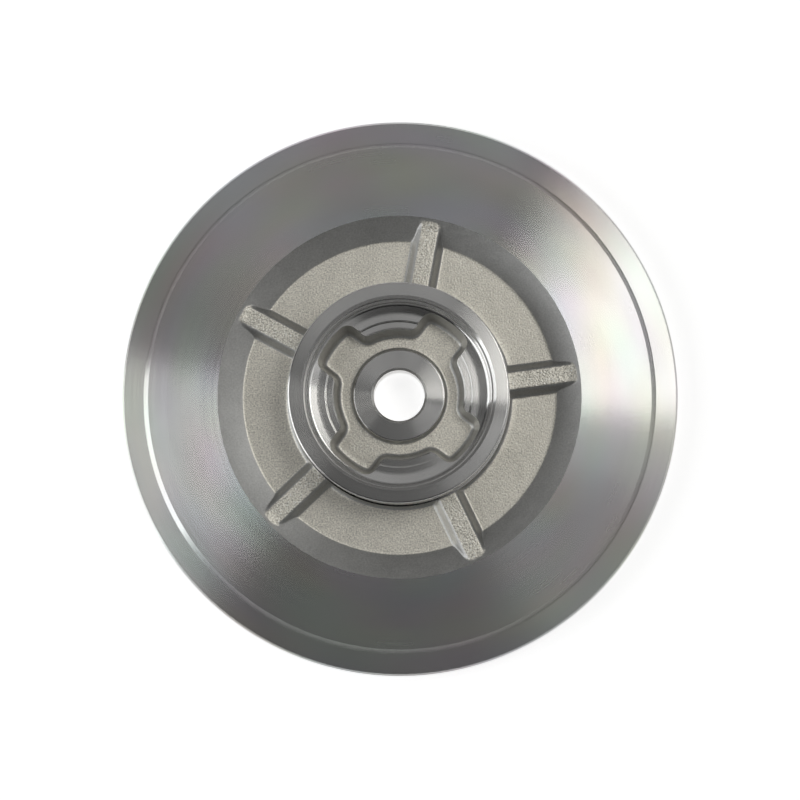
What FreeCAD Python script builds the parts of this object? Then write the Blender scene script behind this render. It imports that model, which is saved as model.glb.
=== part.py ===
"""Back plate of a large turbocharger: one aluminium casting, finished by turning.

The plate lies on its wheel side, with +Z along the bore and the origin at the
centre of its underside.  From outside in, the side that faces up has a clamped rim
land, a flat flange face, a cast pocket crossed by five ribs, a turned register
ring, and inside the ring a cast cross-shaped pocket with four turned pads round
the boss of the bore.  Lengths are in millimetres and angles in degrees.
"""
import FreeCAD, Part
import math
import os
import Sketcher

# The driving dimensions, in the order in which the sheet lists them.
SIZES = {
    # Rim and flange
    "outer_radius": 85.0,
    "land_height": 8.8,
    "land_inner_radius": 78.4,
    "flange_height": 10.0,
    "flange_outer_radius": 76.9,
    "rim_chamfer": 0.6,
    # Wheel side
    "recess_radius": 47.0,
    "recess_depth": 2.0,
    "recess_chamfer": 0.5,
    # Cast pocket between flange and ring
    "pocket_edge_radius": 55.6,
    "pocket_floor_radius": 48.1,
    "pocket_floor_height": 5.5,
    "pocket_foot_fillet": 1.2,
    # Register ring
    "ring_radius": 33.2,
    "ring_cast_radius": 33.7,
    "ring_seat_height": 9.4,
    "ring_height": 25.0,
    "ring_chamfer": 0.5,
    "ring_foot_fillet": 1.5,
    "ring_mouth_radius": 29.3,
    "ring_mouth_chamfer": 0.8,
    "ring_step_height": 22.4,
    "ring_bore_radius": 27.7,
    "ring_bore_chamfer": 0.35,
    "ring_bore_fillet": 1.6,
    # Pads inside the ring
    "ledge_height": 19.3,
    "ledge_inner_radius": 22.1,
    "pad_height": 18.4,
    "ledge_step_run": 0.3,
    "pad_chamfer_radius": 20.2,
    "pad_chamfer": 0.6,
    # Cross-shaped cast pocket that parts the pads
    "cross_plane_height": 20.1,
    "cross_floor_height": 10.5,
    "cross_foot_fillet": 1.6,
    "cross_angle": 53.3,
    "cross_draft": 9.0,
    "arm_half_width": 8.2,
    "arm_reach": 26.6,
    "arm_corner": 3.5,
    "cross_centre_radius": 20.1,
    "pad_corner": 2.0,
    # Boss and bore
    "boss_radius": 13.9,
    "boss_foot_radius": 14.4,
    "boss_height": 13.0,
    "boss_chamfer": 0.4,
    "boss_foot_fillet": 0.8,
    "boss_root_height": 9.5,
    "bore_radius": 7.75,
    "bore_chamfer": 0.7,
    # Ribs
    "rib_angle": 79.7,
    "rib_count": 5.0,
    "rib_start_radius": 33.0,
    "rib_end_radius": 55.0,
    "rib_height": 9.0,
    "rib_crest_half_width": 3.1,
    "rib_crest_fillet": 1.2,
    "rib_foot_half_width": 4.6,
    "rib_skirt_half_width": 6.6,
    "rib_foot_fillet": 1.9,
    "rib_sink": 0.15,
    "rib_root_height": 4.5,
}

START, END, CENTRE = 1, 2, 3
ORIGIN, HORIZONTAL_AXIS, VERTICAL_AXIS = -1, -1, -2
UP = FreeCAD.Vector(0, 0, 1)


def value(terms):
    """What a sum of named sizes comes to, such as 'outer_radius -rim_chamfer'."""
    total = 0.0
    for term in terms.split():
        sign = -1.0 if term.startswith("-") else 1.0
        total += sign * SIZES[term.lstrip("-")]
    return total


def formula(terms):
    """The same sum as an expression on the sheet."""
    parts = []
    for term in terms.split():
        sign = "-" if term.startswith("-") else "+"
        parts.append(f"{sign} Sizes.{term.lstrip('-')}")
    return " ".join(parts).lstrip("+ ")


def make_sheet(doc):
    """The spreadsheet that every sketch and feature takes its sizes from."""
    sheet = doc.addObject("Spreadsheet::Sheet", "Sizes")
    for row, (name, size) in enumerate(SIZES.items(), start=1):
        sheet.set(f"A{row}", name.replace("_", " "))
        sheet.set(f"B{row}", str(size))
        sheet.setAlias(f"B{row}", name)
    doc.recompute()
    return sheet


def origin_feature(body, role):
    """One of the body's own origin planes or axes, found by its role."""
    for feature in body.Origin.OriginFeatures:
        if feature.Role == role:
            return feature
    raise LookupError(role)


def new_sketch(body, name, plane):
    """An empty sketch on one of the body's origin planes."""
    sketch = body.newObject("Sketcher::SketchObject", name)
    sketch.AttachmentSupport = [(origin_feature(body, plane), "")]
    sketch.MapMode = "FlatFace"
    return sketch


def hold(sketch, kind, where, terms):
    """Add a constraint whose size is a sum of named sizes."""
    index = sketch.addConstraint(Sketcher.Constraint(kind, *where, value(terms)))
    sketch.setExpression(f"Constraints[{index}]", formula(terms))


def hold_point(sketch, geometry, position, across, upward):
    """Put a point at a place given by two sums of sizes; an empty sum is an axis."""
    if across:
        hold(sketch, "DistanceX", (ORIGIN, START, geometry, position), across)
    else:
        on_axis = Sketcher.Constraint("PointOnObject", geometry, position, VERTICAL_AXIS)
        sketch.addConstraint(on_axis)
    if upward:
        hold(sketch, "DistanceY", (ORIGIN, START, geometry, position), upward)
    else:
        on_axis = Sketcher.Constraint("PointOnObject", geometry, position, HORIZONTAL_AXIS)
        sketch.addConstraint(on_axis)


def arc_through(start, end, centre):
    """The short arc from start to end, and whether it runs clockwise."""
    radius = (start - centre).Length
    first = math.atan2(start.y - centre.y, start.x - centre.x)
    last = math.atan2(end.y - centre.y, end.x - centre.x)
    clockwise = (last - first) % (2 * math.pi) > math.pi
    if clockwise:
        first, last = last, first
    return Part.ArcOfCircle(Part.Circle(centre, UP, radius), first, last), clockwise


def rounded_corner(corner, before, after, radius):
    """Tangent points and centre of the arc that rounds a corner."""
    to_before = (before - corner).normalize()
    to_after = (after - corner).normalize()
    half_angle = to_before.getAngle(to_after) / 2
    run = radius / math.tan(half_angle)
    middle = (to_before + to_after).normalize()
    centre = corner + middle * (radius / math.sin(half_angle))
    return corner + to_before * run, corner + to_after * run, centre


def draw_outline(sketch, corners):
    """A closed outline of straight sides, with a rounding where a corner names one.

    Each corner is (across, upward, rounding): two sums of sizes, and the name of a
    radius or None.
    """
    points = [FreeCAD.Vector(value(c[0]), value(c[1]), 0) for c in corners]
    count = len(points)
    leave, arrive, arcs = list(points), list(points), {}
    for i, (_, _, rounding) in enumerate(corners):
        if rounding:
            before, after = points[i - 1], points[(i + 1) % count]
            tangents = rounded_corner(points[i], before, after, SIZES[rounding])
            arrive[i], leave[i], centre = tangents
            arcs[i] = arc_through(arrive[i], leave[i], centre)
    sides = []
    for i in range(count):
        side = Part.LineSegment(leave[i], arrive[(i + 1) % count])
        sides.append(sketch.addGeometry(side, False))
    for i, (across, upward, rounding) in enumerate(corners):
        side_in, side_out = sides[i - 1], sides[i]
        if not rounding:
            joint = Sketcher.Constraint("Coincident", side_in, END, side_out, START)
            sketch.addConstraint(joint)
            hold_point(sketch, side_out, START, across, upward)
            continue
        shape, clockwise = arcs[i]
        arc = sketch.addGeometry(shape, False)
        first, last = (END, START) if clockwise else (START, END)
        corner = sketch.addGeometry(Part.Point(points[i]), True)
        sketch.addConstraint([
            Sketcher.Constraint("Tangent", side_in, END, arc, first),
            Sketcher.Constraint("Tangent", arc, last, side_out, START),
            Sketcher.Constraint("PointOnObject", corner, START, side_in),
            Sketcher.Constraint("PointOnObject", corner, START, side_out),
        ])
        hold(sketch, "Radius", (arc,), rounding)
        hold_point(sketch, corner, START, across, upward)


def revolve(body, name, corners):
    """Turn a half-section about the bore axis."""
    sketch = new_sketch(body, name + "_section", "XZ_Plane")
    draw_outline(sketch, corners)
    feature = body.newObject("PartDesign::Revolution", name)
    feature.Profile = sketch
    feature.ReferenceAxis = (sketch, ["V_Axis"])
    feature.Angle = 360.0
    return feature


def turned_blank(body):
    """Rim, flange, pocket annulus, register ring and ledges in one half-section."""
    return revolve(body, "turned_blank", [
        ("", "recess_depth", None),
        ("recess_radius", "recess_depth", None),
        ("recess_radius", "recess_chamfer", None),
        ("recess_radius recess_chamfer", "", None),
        ("outer_radius -rim_chamfer", "", None),
        ("outer_radius", "rim_chamfer", None),
        ("outer_radius", "land_height -rim_chamfer", None),
        ("outer_radius -rim_chamfer", "land_height", None),
        ("land_inner_radius", "land_height", None),
        ("flange_outer_radius", "flange_height", None),
        ("pocket_edge_radius", "flange_height", None),
        ("pocket_floor_radius", "pocket_floor_height", "pocket_foot_fillet"),
        ("ring_cast_radius", "pocket_floor_height", "ring_foot_fillet"),
        ("ring_cast_radius", "ring_seat_height", None),
        ("ring_radius", "ring_seat_height", None),
        ("ring_radius", "ring_height -ring_chamfer", None),
        ("ring_radius -ring_chamfer", "ring_height", None),
        ("ring_mouth_radius", "ring_height", None),
        ("ring_mouth_radius -ring_mouth_chamfer", "ring_height -ring_mouth_chamfer", None),
        ("ring_mouth_radius -ring_mouth_chamfer", "ring_step_height", None),
        ("ring_bore_radius ring_bore_chamfer", "ring_step_height", None),
        ("ring_bore_radius", "ring_step_height -ring_bore_chamfer", None),
        ("ring_bore_radius", "ledge_height", "ring_bore_fillet"),
        ("ledge_inner_radius", "ledge_height", None),
        ("ledge_inner_radius -ledge_step_run", "pad_height", None),
        ("pad_chamfer_radius", "pad_height", None),
        ("pad_chamfer_radius -pad_chamfer", "pad_height -pad_chamfer", None),
        ("", "pad_height -pad_chamfer", None),
    ])


def cross_outline(sketch):
    """Four equal arms about a round centre, every corner rounded.

    One arm points along the sketch's own +X, and the others follow by quarter turns.
    """
    half, reach = SIZES["arm_half_width"], SIZES["arm_reach"]
    centre_radius = SIZES["cross_centre_radius"]
    arm_corner, pad_corner = SIZES["arm_corner"], SIZES["pad_corner"]
    outer_x = math.sqrt((reach - arm_corner) ** 2 - (half - arm_corner) ** 2)
    inner_x = math.sqrt((centre_radius + pad_corner) ** 2 - (half + pad_corner) ** 2)
    outer_angle = math.atan2(half - arm_corner, outer_x)
    inner_angle = math.atan2(half + pad_corner, inner_x)
    quarter = math.pi / 2

    def turned(x, y, turns):
        angle = turns * quarter
        return FreeCAD.Vector(x * math.cos(angle) - y * math.sin(angle),
                              x * math.sin(angle) + y * math.cos(angle), 0)

    def ring_arc(radius, first, last):
        circle = Part.Circle(FreeCAD.Vector(0, 0, 0), UP, radius)
        arc = sketch.addGeometry(Part.ArcOfCircle(circle, first, last), False)
        sketch.addConstraint(Sketcher.Constraint("Coincident", arc, CENTRE, ORIGIN, START))
        return arc

    chain = []
    for turns in range(4):
        start = turns * quarter
        pieces = {}
        for side in (-1, 1):
            inner = turned(inner_x, side * half, turns)
            outer = turned(outer_x, side * half, turns)
            ends = (inner, outer) if side < 0 else (outer, inner)
            line = sketch.addGeometry(Part.LineSegment(*ends), False)
            outer_centre = turned(outer_x, side * (half - arm_corner), turns)
            inner_centre = turned(inner_x, side * (half + pad_corner), turns)
            reach_end = turned(reach * math.cos(outer_angle),
                               side * reach * math.sin(outer_angle), turns)
            centre_end = turned(centre_radius * math.cos(inner_angle),
                                side * centre_radius * math.sin(inner_angle), turns)
            outer_arc, _ = arc_through(outer, reach_end, outer_centre)
            inner_arc, _ = arc_through(inner, centre_end, inner_centre)
            pieces[side] = (sketch.addGeometry(inner_arc, False), line,
                            sketch.addGeometry(outer_arc, False))
            hold(sketch, "Radius", (pieces[side][0],), "pad_corner")
            hold(sketch, "Radius", (pieces[side][2],), "arm_corner")
            upright = turns % 2 == 1
            straight = Sketcher.Constraint("Vertical" if upright else "Horizontal", line)
            sketch.addConstraint(straight)
            far_side = side * (1 if turns in (0, 3) else -1) < 0
            axis = "DistanceX" if upright else "DistanceY"
            terms = "-arm_half_width" if far_side else "arm_half_width"
            hold(sketch, axis, (ORIGIN, START, line, START), terms)
        tip = ring_arc(reach, start - outer_angle, start + outer_angle)
        hold(sketch, "Radius", (tip,), "arm_reach")
        waist = ring_arc(centre_radius, start + inner_angle, start + quarter - inner_angle)
        hold(sketch, "Radius", (waist,), "cross_centre_radius")
        chain += [(pieces[-1][0], END, START), (pieces[-1][1], START, END),
                  (pieces[-1][2], START, END), (tip, START, END),
                  (pieces[1][2], START, END), (pieces[1][1], START, END),
                  (pieces[1][0], END, START), (waist, START, END)]
    for (one, _, leaving), (other, arriving, _) in zip(chain, chain[1:] + chain[:1]):
        sketch.addConstraint(Sketcher.Constraint("Tangent", one, leaving, other, arriving))


def cut_cross(body):
    """Cast pocket in the hub, cut down from just above the ledges with draft."""
    sketch = new_sketch(body, "cross_outline", "XY_Plane")
    sketch.AttachmentOffset = FreeCAD.Placement(
        FreeCAD.Vector(0, 0, SIZES["cross_plane_height"]),
        FreeCAD.Rotation(UP, SIZES["cross_angle"]))
    sketch.setExpression("AttachmentOffset.Base.z", "Sizes.cross_plane_height")
    sketch.setExpression("AttachmentOffset.Rotation.Angle", "Sizes.cross_angle")
    cross_outline(sketch)
    pocket = body.newObject("PartDesign::Pocket", "cross_pocket")
    pocket.Profile = sketch
    pocket.Type = 0
    pocket.setExpression("Length", formula("cross_plane_height -cross_floor_height"))
    pocket.setExpression("TaperAngle", "-Sizes.cross_draft")
    return pocket


def round_cross_floor(body):
    """Fillet all round the floor of the cross, as the core left it."""
    pocket, edges = body.Tip, []
    for number, edge in enumerate(pocket.Shape.Edges, start=1):
        heights = [vertex.Z for vertex in edge.Vertexes]
        if all(abs(height - SIZES["cross_floor_height"]) < 0.001 for height in heights):
            edges.append(f"Edge{number}")
    fillet = body.newObject("PartDesign::Fillet", "cross_floor_fillet")
    fillet.Base = (pocket, edges)
    fillet.setExpression("Radius", "Sizes.cross_foot_fillet")
    return fillet


def add_boss(body):
    """Low round boss that stands on the floor of the cross."""
    return revolve(body, "boss", [
        ("", "boss_root_height", None),
        ("boss_foot_radius boss_foot_fillet", "boss_root_height", None),
        ("boss_foot_radius boss_foot_fillet", "cross_floor_height", None),
        ("boss_foot_radius", "cross_floor_height boss_foot_fillet", None),
        ("boss_radius", "boss_height -boss_chamfer", None),
        ("boss_radius -boss_chamfer", "boss_height", None),
        ("", "boss_height", None),
    ])


def cut_bore(body):
    """Seal bore, right through the boss."""
    sketch = new_sketch(body, "bore_circle", "XY_Plane")
    circle = Part.Circle(FreeCAD.Vector(0, 0, 0), UP, SIZES["bore_radius"])
    index = sketch.addGeometry(circle, False)
    sketch.addConstraint(Sketcher.Constraint("Coincident", index, CENTRE, ORIGIN, START))
    hold(sketch, "Radius", (index,), "bore_radius")
    pocket = body.newObject("PartDesign::Pocket", "seal_bore")
    pocket.Profile = sketch
    pocket.Type = 1
    pocket.Midplane = True
    return pocket


def break_bore_edges(body):
    """Equal chamfers on both mouths of the bore."""
    bored, edges = body.Tip, []
    for number, edge in enumerate(bored.Shape.Edges, start=1):
        curve = edge.Curve
        is_circle = isinstance(curve, Part.Circle)
        if is_circle and abs(curve.Radius - SIZES["bore_radius"]) < 0.001:
            edges.append(f"Edge{number}")
    chamfer = body.newObject("PartDesign::Chamfer", "bore_chamfers")
    chamfer.Base = (bored, edges)
    chamfer.setExpression("Size", "Sizes.bore_chamfer")
    return chamfer


def add_ribs(body):
    """Five equal radial ribs across the cast pocket, from the ring to the flange."""
    sketch = new_sketch(body, "rib_section", "YZ_Plane")
    turn = FreeCAD.Rotation(FreeCAD.Vector(0, 1, 0), SIZES["rib_angle"])
    outward = turn.multVec(FreeCAD.Vector(0, 0, 1))
    sketch.AttachmentOffset = FreeCAD.Placement(outward * SIZES["rib_start_radius"], turn)
    sketch.setExpression("AttachmentOffset.Rotation.Angle", "Sizes.rib_angle")
    start = "Sizes.rib_start_radius"
    sketch.setExpression("AttachmentOffset.Base.x", f"{start} * sin(Sizes.rib_angle)")
    sketch.setExpression("AttachmentOffset.Base.z", f"{start} * cos(Sizes.rib_angle)")
    crest = ("rib_crest_half_width", "rib_height", "rib_crest_fillet")
    foot = ("rib_foot_half_width", "pocket_floor_height -rib_sink", "rib_foot_fillet")
    skirt = ("rib_skirt_half_width", "pocket_floor_height -rib_sink", None)
    root = ("rib_skirt_half_width", "rib_root_height", None)
    right = [root, skirt, foot, crest]
    left = [("-" + across, upward, rounding) for across, upward, rounding in reversed(right)]
    draw_outline(sketch, right + left)
    rib = body.newObject("PartDesign::Pad", "rib")
    rib.Profile = sketch
    rib.setExpression("Length", formula("rib_end_radius -rib_start_radius"))
    ribs = body.newObject("PartDesign::PolarPattern", "ribs")
    ribs.Originals = [rib]
    ribs.Axis = (origin_feature(body, "Z_Axis"), [""])
    ribs.Angle = 360.0
    ribs.setExpression("Occurrences", "Sizes.rib_count")
    body.Tip = ribs
    return ribs


def build_back_plate(doc):
    """The whole casting, feature by feature; each step must change the volume."""
    body = doc.addObject("PartDesign::Body", "back_plate")
    body.Label = "back_plate"
    doc.recompute()
    steps = [(turned_blank, 1), (cut_cross, -1), (round_cross_floor, 1), (add_boss, 1),
             (add_ribs, 1), (cut_bore, -1), (break_bore_edges, -1)]
    volume = 0.0
    for step, direction in steps:
        step(body)
        doc.recompute()
        change = body.Shape.Volume - volume
        if change * direction <= 0:
            raise RuntimeError(f"{step.__name__} changed the volume by {change:.1f}")
        print(f"{step.__name__:18s} {change:+12.1f} mm3")
        volume = body.Shape.Volume
    return body


def check(doc, bodies):
    """Stop if any object failed, or if a sub-part isn't one valid solid."""
    for item in doc.Objects:
        bad = [state for state in item.State if state in ("Invalid", "Error")]
        if bad:
            raise RuntimeError(f"{item.Label}: {bad}")
    for body in bodies:
        shape = body.Shape
        if shape.isNull() or not shape.isValid() or len(shape.Solids) != 1:
            raise RuntimeError(f"{body.Label} is not one valid solid")


def main():
    """Build the document, check it and write one STEP file for each sub-part."""
    doc = FreeCAD.newDocument("back_plate_model")
    make_sheet(doc)
    bodies = [build_back_plate(doc)]
    check(doc, bodies)
    os.makedirs("parts", exist_ok=True)
    for body in bodies:
        body.Shape.exportStep(f"parts/{body.Label}.step")
        box = body.Shape.BoundBox
        print(f"{body.Label}: {box.XLength:.2f} x {box.YLength:.2f} x {box.ZLength:.2f} mm,"
              f" {body.Shape.Volume / 1000:.1f} cm3")


main()
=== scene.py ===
"""Back plate of a large turbocharger, dressed as a sand casting with turned faces."""

import math

import bmesh
import bpy
from bpy.props import FloatProperty, FloatVectorProperty, IntProperty, PointerProperty
from mathutils import Matrix, Vector, noise


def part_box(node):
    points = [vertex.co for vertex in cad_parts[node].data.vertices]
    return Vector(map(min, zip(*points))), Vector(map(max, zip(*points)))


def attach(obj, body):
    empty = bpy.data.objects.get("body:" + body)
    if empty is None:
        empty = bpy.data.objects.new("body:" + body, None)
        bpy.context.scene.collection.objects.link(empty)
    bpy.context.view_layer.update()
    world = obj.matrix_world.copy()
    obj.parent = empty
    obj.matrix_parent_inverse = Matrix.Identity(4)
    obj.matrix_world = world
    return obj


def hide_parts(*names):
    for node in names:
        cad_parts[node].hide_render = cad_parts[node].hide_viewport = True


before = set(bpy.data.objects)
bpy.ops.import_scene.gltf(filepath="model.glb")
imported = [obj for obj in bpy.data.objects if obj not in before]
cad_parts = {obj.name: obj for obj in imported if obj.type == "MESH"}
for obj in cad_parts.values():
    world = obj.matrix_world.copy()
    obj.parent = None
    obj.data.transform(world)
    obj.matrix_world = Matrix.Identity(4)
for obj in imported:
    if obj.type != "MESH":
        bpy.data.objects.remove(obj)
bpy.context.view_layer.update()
PLATE_LOW, PLATE_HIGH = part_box("back_plate")

bl_info = {
    "name": "Turbocharger Back Plate",
    "version": (1, 0, 0),
    "blender": (4, 5, 0),
    "location": "3D View > Sidebar > Back Plate",
    "description": "Builds a cast and turned compressor back plate on its studio floor",
    "category": "Add Mesh",
}

MM = 0.001
COLUMNS = 600                        # divisions of the spun blank round its axis
TURNED_SHARP = math.radians(20)      # a turned edge over this angle stays crisp
CAST_SHARP = math.radians(75)        # a cast edge over this angle stays crisp
CROWDING_LEAD = 4.4 * MM             # ring of the flange in which the columns crowd
SKIN_LUMPS = 3.0 * MM                # size of the cast skin's soft unevenness
SKIN_RISE = 0.035 * MM               # and its height
CREST_PITS = 1.1 * MM                # size of the rougher spots on the ribs' crests
CREST_RISE = 0.07 * MM               # and their height
CREST_START = (8.2 * MM, 8.9 * MM)   # heights over which a rib's crest begins
CREST_END = (9.8 * MM, 9.2 * MM)     # and over which it is past
CREST_GRAIN_START = (8.2 * MM, 8.8 * MM)   # the same for the crest's coarser grain
CREST_GRAIN_END = (9.9 * MM, 9.5 * MM)
TURNED_ANISOTROPY = 1.0              # the marks spread light only across themselves
NOISE_SPAN = (0.3, 0.7)              # where most of a noise's values lie
HUB_EDGE = 38.0 * MM                 # radius up to which the hub's finer finish runs
FLANGE_EDGE = 48.0 * MM              # and from which the flange's finish is whole
SHEEN_START = (40.0 * MM, 56.0 * MM)  # radii over which the flange's painted rainbow sheen comes in
TINT_RAY = 30.0 * MM                 # how far the painted sheen's tints spread round the axis
SHEEN_SIZE = 12.0 * MM                # size of one patch of the painted sheen
SMEAR_SIZE = 9.0 * MM                # and of the duller smears on the turned faces
PATCH_SIZE = 9.0 * MM                # and of the cast skin's lighter and darker patches
WALL_LEVEL = (0.89, 0.965)           # upward share of the normal, from cast wall to floor, over which the walls' painted shade and thinner grain give way to the floor's
SENSOR_WIDTH = 36.0                  # millimetres
CAMERA_TARGET = (0.00021, -0.00116, 0.010)   # the point that the camera looks at
FLOOR_SIZE = 4.0                     # metres
FLOOR_GAP = 0.2 * MM                 # keeps the floor clear of the plate's own face
FLOOR_GRIT = 4.0 * MM                # size of the floor's faint grit
FLOOR_GLOW = 0.70                    # how much of its own white the floor shows
WHITE = (1.0, 1.0, 1.0, 1.0)


def length(name, description, size):
    """A length property, given in millimetres and kept in metres."""
    return FloatProperty(name=name, description=description, default=size * MM,
                         min=0.0, precision=5, unit="LENGTH", subtype="DISTANCE")


def angle(name, description, degrees):
    """An angle property, given in degrees and kept in radians."""
    return FloatProperty(name=name, description=description,
                         default=math.radians(degrees), subtype="ANGLE", unit="ROTATION")


def factor(name, description, amount, top=1.0):
    """A plain number between zero and a top value."""
    return FloatProperty(name=name, description=description, default=amount,
                         min=0.0, max=top, precision=3)


def colour(name, description, rgb):
    """A colour property, in linear light."""
    return FloatVectorProperty(name=name, description=description, default=rgb,
                               size=3, min=0.0, max=1.0, subtype="COLOR")


class BackPlateSizes(bpy.types.PropertyGroup):
    """Sizes of the casting; heights are above its wheel side."""
    outer_radius: length("Outer radius", "Radius of the turned rim", PLATE_HIGH.x / MM)
    ring_height: length("Ring height", "Height of the ring's top face", PLATE_HIGH.z / MM)
    rim_chamfer: length("Rim chamfer", "Chamfer of both edges of the rim", 0.6)
    land_height: length("Land height", "Height of the clamped land at the rim", 8.8)
    land_inner_radius: length("Land inner radius", "Where the land meets its step", 78.4)
    flange_radius: length("Flange radius", "Outer edge of the flange face", 76.9)
    flange_height: length("Flange height", "Height of the flange face", 10.0)
    recess_radius: length("Recess radius", "Radius of the wheel's recess", 47.0)
    recess_depth: length("Recess depth", "Depth of the wheel's recess", 2.0)
    recess_chamfer: length("Recess chamfer", "Chamfer of the recess's edge", 0.5)
    pocket_radius: length("Pocket radius", "Edge of the cast pocket", 55.6)
    pocket_floor_radius: length("Pocket floor radius", "Foot of the pocket's slope", 48.1)
    pocket_floor_height: length("Pocket floor height", "Height of the pocket's floor", 5.5)
    pocket_foot_fillet: length("Pocket foot fillet", "Fillet at the slope's foot", 1.2)
    ring_radius: length("Ring radius", "Turned outside of the register ring", 33.2)
    ring_cast_radius: length("Ring cast radius", "Cast wall below the ring's seat", 33.7)
    ring_seat_height: length("Ring seat height", "Where the turned wall stops", 9.4)
    ring_foot_fillet: length("Ring foot fillet", "Fillet where the ring meets the floor", 1.5)
    ring_rounding: length("Ring rounding", "Rounding of the ring's outer edge", 0.5)
    mouth_radius: length("Mouth radius", "Inner edge of the ring's top face", 29.3)
    mouth_chamfer: length("Mouth chamfer", "Chamfer of that edge", 0.8)
    mouth_step_height: length("Mouth step height", "Step inside the ring", 22.4)
    insert_bore_radius: length("Insert bore radius", "Turned wall inside the ring", 27.7)
    insert_bore_chamfer: length("Insert bore chamfer", "Chamfer at the top of that wall", 0.35)
    insert_bore_fillet: length("Insert bore fillet", "Fillet where it meets the ledges", 1.3)
    ledge_height: length("Ledge height", "Height of the outer ledge of a pad", 19.3)
    ledge_inner_radius: length("Ledge inner radius", "Inner edge of that ledge", 22.1)
    dish_radius: length("Dish radius", "Where the outer ledge starts to rise to the wall", 24.4)
    dish_rise: length("Dish rise", "How far it rises up to the wall", 0.5)
    ledge_step_run: length("Ledge step run", "Width of the step between the ledges", 0.3)
    pad_height: length("Pad height", "Height of the inner ledge of a pad", 18.4)
    pad_chamfer_radius: length("Pad chamfer radius", "Where a pad's chamfer starts", 20.2)
    pad_chamfer: length("Pad chamfer", "Chamfer of a pad's inner edge", 0.6)
    cross_floor_height: length("Cross floor height", "Floor of the cross pocket", 10.5)
    cross_plane_height: length("Cross plane height", "Where the cross is measured", 20.1)
    cross_foot_fillet: length("Cross foot fillet", "Fillet round the cross's floor", 1.6)
    cross_angle: angle("Cross angle", "Bearing of the first arm of the cross", 53.3)
    cross_draft: angle("Cross draft", "Draft of the cross pocket's walls", 9.0)
    arm_half_width: length("Arm half width", "Half the width of an arm", 8.2)
    arm_reach: length("Arm reach", "Radius at the end of an arm", 26.6)
    arm_corner: length("Arm corner", "Corner radius at the end of an arm", 3.5)
    cross_centre_radius: length("Cross centre radius", "Radius between the arms", 20.1)
    pad_corner: length("Pad corner", "Corner radius of a pad", 2.0)
    boss_radius: length("Boss radius", "Radius of the boss", 13.9)
    boss_foot_run: length("Boss foot run", "How far the boss widens to its foot", 0.5)
    boss_foot_fillet: length("Boss foot fillet", "Fillet at the boss's foot", 0.8)
    boss_height: length("Boss height", "Height of the boss", 13.0)
    boss_rounding: length("Boss rounding", "Rounding of the boss's edge", 0.4)
    bore_radius: length("Bore radius", "Radius of the seal bore", 7.75)
    bore_chamfer: length("Bore chamfer", "Chamfer of both mouths of the bore", 0.7)
    rib_angle: angle("Rib angle", "Bearing of the first rib", 79.7)
    rib_count: IntProperty(name="Ribs", description="Number of ribs", default=5, min=1)
    rib_height: length("Rib height", "Height of the ribs' crests", 9.0)
    rib_half_width: length("Rib half width", "Half the width of a crest", 3.1)
    rib_foot_run: length("Rib foot run", "How far a rib widens to its foot", 1.5)
    rib_crest_fillet: length("Rib crest fillet", "Rounding of the ribs' crests", 1.2)
    rib_foot_fillet: length("Rib foot fillet", "Rounding at the ribs' feet", 1.9)
    rib_reach: length("Rib reach", "Radius where a rib's crest ends", 54.4)


class BackPlateFinish(bpy.types.PropertyGroup):
    """Colours and finish of the turned and the cast surfaces."""
    turned_colour: colour("Turned metal", "Colour of the turned faces", (0.715, 0.71, 0.695))
    cast_colour: colour("Cast metal", "Colour of the cast skin", (0.85, 0.82, 0.735))
    # painted shade: the sloping cast walls take this darker colour in place of the shade the
    # light gives them
    painted_wall_shade: colour("Cast walls", "Colour of the sloping cast walls", (0.52, 0.52, 0.51))
    flange_roughness: factor("Flange roughness", "Roughness of the outer turned faces", 0.26)
    hub_roughness: factor("Hub roughness", "Roughness of the turned ring and boss", 0.17)
    bored_roughness: factor("Bored roughness", "Roughness of the walls inside the ring", 0.42)
    mark_lean: angle("Lean of the marks", "How far the saw-toothed marks lean outward", 2.0)
    cast_roughness: factor("Cast roughness", "Roughness of the cast skin", 0.48)
    grain: length("Grain", "Size of the grain of the cast skin", 0.50)
    feed: length("Feed", "Pitch of the turning marks", 0.9)
    # painted sheen: these faint rainbow tints stand in for the turned faces' iridescent
    # reflection
    tint: factor("Tint", "Strength of the faint tints on the turned faces", 0.12)


class StudioSettings(bpy.types.PropertyGroup):
    """Camera, floor and light."""
    camera_across: length("Camera across", "Camera's place along X", 14.2)
    camera_towards: length("Camera towards", "Camera's place along -Y", 55.4)
    camera_height: length("Camera height", "Camera's height above the floor", 714.0)
    camera_lens: factor("Lens", "Focal length in millimetres", 104.1, 300.0)
    floor_colour: colour("Floor", "Colour of the floor", (0.80, 0.80, 0.80))
    dome_strength: factor("Room light", "Strength of the soft light all round", 1.0, 10.0)


# ---------------------------------------------------------------- the half-section

class Corner:
    """A corner of the half-section and the side that leaves it.

    zone names the stretch of the casting that the side belongs to, skin names its
    finish, and cuts is how often the side is divided. A corner with a rounding is
    rounded to that radius in the given number of segments.
    """

    def __init__(self, radius, height, zone, skin, cuts=0, rounding=0.0, segments=0):
        self.radius, self.height = radius, height
        self.zone, self.skin, self.cuts = zone, skin, cuts
        self.rounding, self.segments = rounding, segments


def section_corners(p):
    """Corners of the whole half-section, from the bore outward and back over the top."""
    return under_side(p) + flange_and_pocket(p) + register_ring(p) + hub_inside_the_ring(p)


def under_side(p):
    """Wheel side, from the bore's lower mouth out to the rim."""
    return [
        Corner(p.bore_radius + p.bore_chamfer, p.recess_depth, "under", "turned", 4),
        Corner(p.recess_radius, p.recess_depth, "under", "turned"),
        Corner(p.recess_radius, p.recess_chamfer, "under", "turned"),
        Corner(p.recess_radius + p.recess_chamfer, 0.0, "under", "turned", 3),
        Corner(p.outer_radius - p.rim_chamfer, 0.0, "under", "turned"),
        Corner(p.outer_radius, p.rim_chamfer, "under", "turned", 1),
        Corner(p.outer_radius, p.land_height - p.rim_chamfer, "under", "turned"),
    ]


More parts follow.
